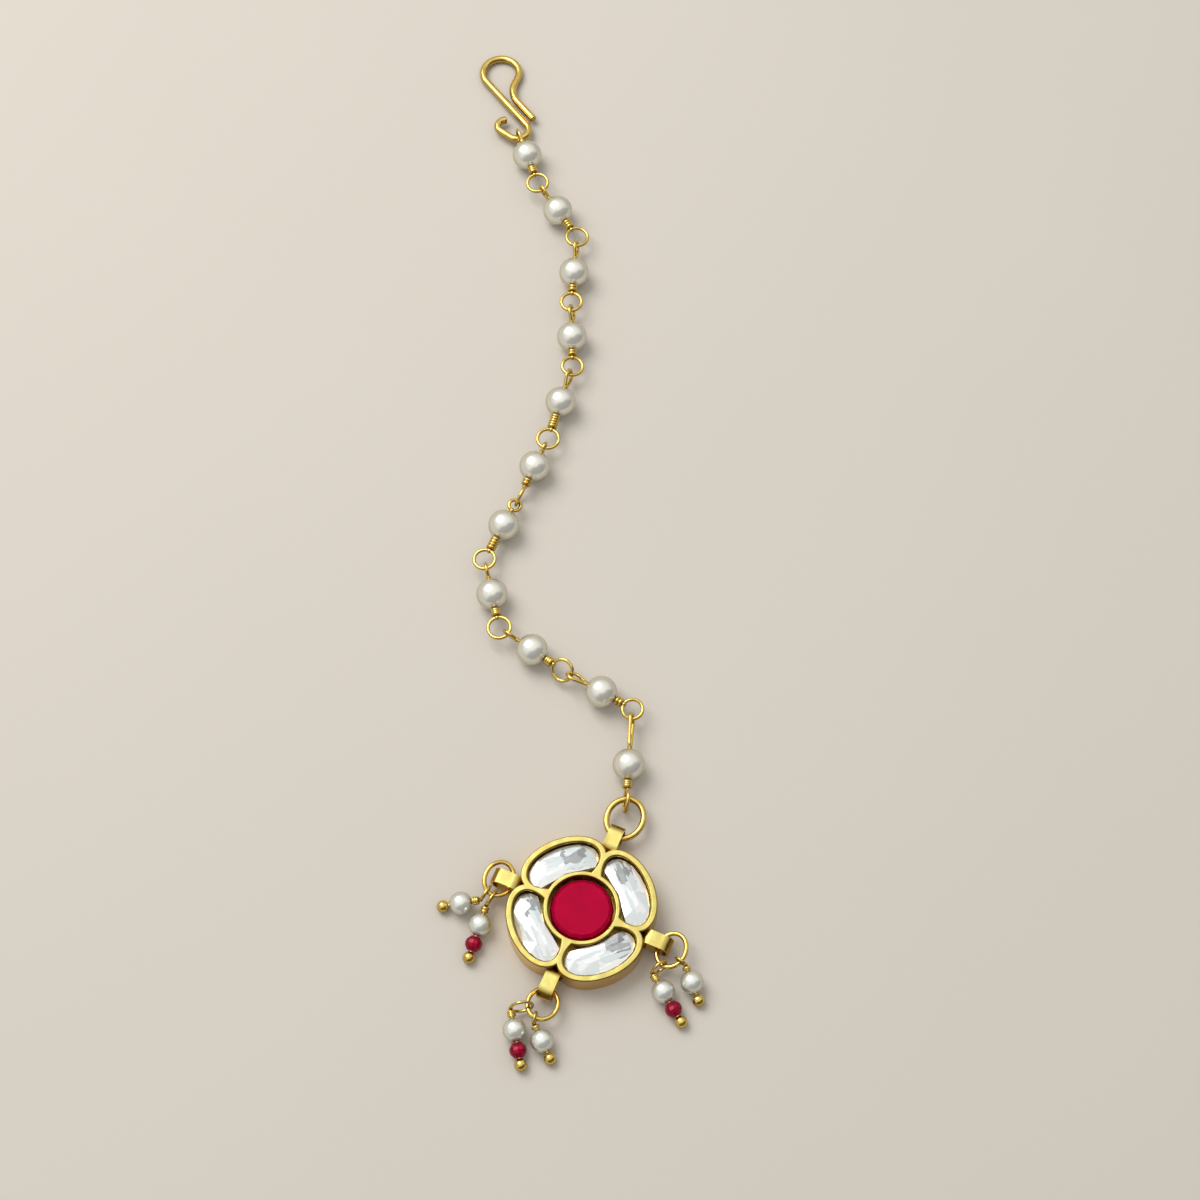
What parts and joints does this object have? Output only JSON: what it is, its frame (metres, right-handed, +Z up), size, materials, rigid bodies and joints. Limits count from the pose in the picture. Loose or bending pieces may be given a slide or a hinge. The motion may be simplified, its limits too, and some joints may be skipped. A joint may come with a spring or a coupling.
{
  "type": "maang tikka",
  "caption": "Indian forehead jewel lying flat: a wire hook, a chain of drilled pearls on wrapped wire links, and a stone-set flower pendant with small pearl drops.",
  "frame": {"origin": "middle of the bounding box's bottom, on the surface that the jewel lies on", "axes": "+Y from the pendant to the hook, +Z up off the surface, out of the pendant's front"},
  "size_m": [0.0396, 0.1786, 0.005],
  "materials": {
    "gold_cast": "polished, bright yellow gilding",
    "gold_wire": "polished, bright yellow gilding",
    "red_stone": "cut and polished",
    "clear_stone": "cut, polished and foil-backed",
    "chain_pearl": "pearly, cream",
    "drop_pearl": "pearly, cool white",
    "red_bead": "faceted and polished"
  },
  "bodies": {
    "root": {"setting": "gold_cast", "centre_stone": "red_stone", "petal_stone_1": "clear_stone", "petal_stone_2": "clear_stone", "petal_stone_3": "clear_stone", "petal_stone_4": "clear_stone", "top_ring": "gold_wire", "left_ring": "gold_wire", "bottom_ring": "gold_wire", "right_ring": "gold_wire", "link_wire_01": "gold_wire", "link_wire_02": "gold_wire", "link_wire_03": "gold_wire", "link_wire_04": "gold_wire", "link_wire_05": "gold_wire", "link_wire_06": "gold_wire", "link_wire_07": "gold_wire", "link_wire_08": "gold_wire", "link_wire_09": "gold_wire", "link_wire_10": "gold_wire", "link_wire_11": "gold_wire", "pearl_01": "chain_pearl", "pearl_02": "chain_pearl", "pearl_03": "chain_pearl", "pearl_04": "chain_pearl", "pearl_05": "chain_pearl", "pearl_06": "chain_pearl", "pearl_07": "chain_pearl", "pearl_08": "chain_pearl", "pearl_09": "chain_pearl", "pearl_10": "chain_pearl", "pearl_11": "chain_pearl", "hook": "gold_wire", "pin_left_a": "gold_wire", "pin_left_b": "gold_wire", "pin_bottom_a": "gold_wire", "pin_bottom_b": "gold_wire", "pin_right_a": "gold_wire", "pin_right_b": "gold_wire", "drop_pearl_left_a": "drop_pearl", "drop_pearl_left_b": "drop_pearl", "drop_pearl_bottom_a": "drop_pearl", "drop_pearl_bottom_b": "drop_pearl", "drop_pearl_right_a": "drop_pearl", "drop_pearl_right_b": "drop_pearl", "red_bead_left_b": "red_bead", "red_bead_bottom_a": "red_bead", "red_bead_right_a": "red_bead"}
  },
  "joints": []
}
